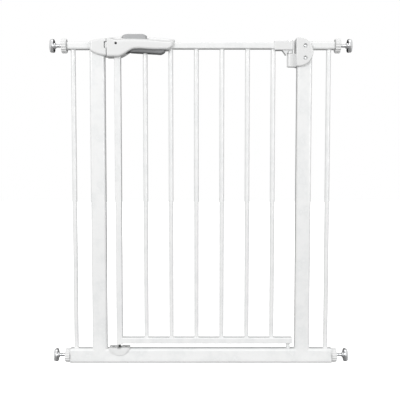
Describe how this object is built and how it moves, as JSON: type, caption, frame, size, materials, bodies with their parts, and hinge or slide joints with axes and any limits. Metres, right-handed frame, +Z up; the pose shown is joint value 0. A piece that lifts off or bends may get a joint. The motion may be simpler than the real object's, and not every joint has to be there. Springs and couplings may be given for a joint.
{
  "type": "safety baby gate",
  "caption": "Pressure-fit walk-through safety gate: white welded tube frame clamped between walls by threaded spindles, with a self-closing barred door and a two-way latch handle.",
  "frame": {"origin": "on the floor under the base rail, midway between the two wall faces and midway through the depth", "axes": "+X across the doorway from the latch side to the hinge side, +Y from the front to the back, +Z up"},
  "size_m": [0.704, 0.04, 0.78],
  "materials": {
    "white_enamel": "gloss powder coat",
    "white_plastic": "fine moulded satin",
    "grey_plastic": "satin",
    "dark_grip": "soft satin",
    "black_plastic": "satin",
    "bush_plastic": "natural acetal",
    "zinc_steel": "bright zinc plate",
    "black_steel": "black oxide",
    "plated_steel": "bright plate",
    "spring_steel": "drawn wire",
    "pad_rubber": "moulded"
  },
  "bodies": {
    "frame": {"base_rail": "white_enamel", "left_upright": "white_enamel", "right_upright": "white_enamel", "left_top_tube": "white_enamel", "right_top_tube": "white_enamel", "left_side_bar": "white_enamel", "right_side_bar": "white_enamel", "tube_plugs": "white_plastic", "keeper_front": "white_plastic", "keeper_rear": "white_plastic", "frame_screws": "zinc_steel", "hinge_cover_front": "white_plastic", "hinge_cover_rear": "white_plastic", "hinge_screws": "zinc_steel", "upper_hinge_bush": "bush_plastic", "closing_spring": "spring_steel", "lower_hinge_pin": "white_plastic", "lower_keeper": "white_plastic"},
    "door": {"door_top_rail": "white_enamel", "door_bottom_rail": "white_enamel", "door_stile": "white_enamel", "door_bar_1": "white_enamel", "door_bar_2": "white_enamel", "door_bar_3": "white_enamel", "door_bar_4": "white_enamel", "door_bar_5": "white_enamel", "door_bar_6": "white_enamel", "hinge_fitting": "white_plastic", "upper_hinge_pin": "zinc_steel", "lower_hinge_bush": "bush_plastic", "bottom_rail_cap": "white_plastic", "stile_foot": "white_plastic", "handle_front": "white_plastic", "handle_rear": "white_plastic", "handle_screws": "zinc_steel", "indicator_dot": "black_plastic", "release_spring": "spring_steel", "tongue_spring": "spring_steel"},
    "lock_slider": {"lock_slider": "grey_plastic"},
    "latch_tongue": {"latch_tongue": "white_plastic"},
    "release_bar": {"squeeze_bar": "dark_grip", "pull_rod": "black_steel", "rod_pin": "zinc_steel"},
    "upper_left_wheel": {"upper_left_wheel": "white_plastic"},
    "upper_left_spindle": {"upper_left_rod": "zinc_steel", "upper_left_foot": "plated_steel", "upper_left_pad": "pad_rubber"},
    "lower_left_wheel": {"lower_left_wheel": "white_plastic"},
    "lower_left_spindle": {"lower_left_rod": "zinc_steel", "lower_left_foot": "plated_steel", "lower_left_pad": "pad_rubber"},
    "upper_right_wheel": {"upper_right_wheel": "white_plastic"},
    "upper_right_spindle": {"upper_right_rod": "zinc_steel", "upper_right_foot": "plated_steel", "upper_right_pad": "pad_rubber"},
    "lower_right_wheel": {"lower_right_wheel": "white_plastic"},
    "lower_right_spindle": {"lower_right_rod": "zinc_steel", "lower_right_foot": "plated_steel", "lower_right_pad": "pad_rubber"}
  },
  "joints": [
    {"name": "door_swing", "type": "hinge", "parent": "frame", "child": "door", "pos_m": [0.209, 0, 0], "axis": [0, 0, 1], "range_deg": [-90, 90], "stiffness_Nm_per_rad": 0.5},
    {"name": "thumb_slide", "type": "slide", "parent": "door", "child": "lock_slider", "axis": [1, 0, 0], "range_m": [0, 0.0055]},
    {"name": "tongue_slide", "type": "slide", "parent": "door", "child": "latch_tongue", "axis": [1, 0, 0], "range_m": [0, 0.0055], "stiffness_N_per_m": 400, "springref_m": -0.004, "deforming": ["tongue_spring"]},
    {"name": "squeeze_lift", "type": "slide", "parent": "door", "child": "release_bar", "axis": [0, 0, 1], "range_m": [0, 0.006], "stiffness_N_per_m": 500, "springref_m": -0.004, "deforming": ["release_spring"]},
    {"name": "upper_left_spindle_slide", "type": "slide", "parent": "frame", "child": "upper_left_spindle", "axis": [-1, 0, 0], "range_m": [-0.012, 0.02]},
    {"name": "upper_left_wheel_turn", "type": "hinge", "parent": "frame", "child": "upper_left_wheel", "pos_m": [-0.319, 0, 0.752], "axis": [-1, 0, 0], "range_deg": [-5761, 3457]},
    {"name": "lower_left_spindle_slide", "type": "slide", "parent": "frame", "child": "lower_left_spindle", "axis": [-1, 0, 0], "range_m": [-0.012, 0.02]},
    {"name": "lower_left_wheel_turn", "type": "hinge", "parent": "frame", "child": "lower_left_wheel", "pos_m": [-0.319, 0, 0.0175], "axis": [-1, 0, 0], "range_deg": [-5761, 3457]},
    {"name": "upper_right_spindle_slide", "type": "slide", "parent": "frame", "child": "upper_right_spindle", "axis": [1, 0, 0], "range_m": [-0.012, 0.02]},
    {"name": "upper_right_wheel_turn", "type": "hinge", "parent": "frame", "child": "upper_right_wheel", "pos_m": [0.319, 0, 0.752], "axis": [1, 0, 0], "range_deg": [-5761, 3457]},
    {"name": "lower_right_spindle_slide", "type": "slide", "parent": "frame", "child": "lower_right_spindle", "axis": [1, 0, 0], "range_m": [-0.012, 0.02]},
    {"name": "lower_right_wheel_turn", "type": "hinge", "parent": "frame", "child": "lower_right_wheel", "pos_m": [0.319, 0, 0.0175], "axis": [1, 0, 0], "range_deg": [-5761, 3457]}
  ],
  "couplings": [
    {"joint": "tongue_slide", "follows": "thumb_slide", "ratio": 1},
    {"joint": "upper_left_wheel_turn", "follows": "upper_left_spindle_slide", "rad_per_m": -5026.5},
    {"joint": "lower_left_wheel_turn", "follows": "lower_left_spindle_slide", "rad_per_m": -5026.5},
    {"joint": "upper_right_wheel_turn", "follows": "upper_right_spindle_slide", "rad_per_m": -5026.5},
    {"joint": "lower_right_wheel_turn", "follows": "lower_right_spindle_slide", "rad_per_m": -5026.5}
  ]
}
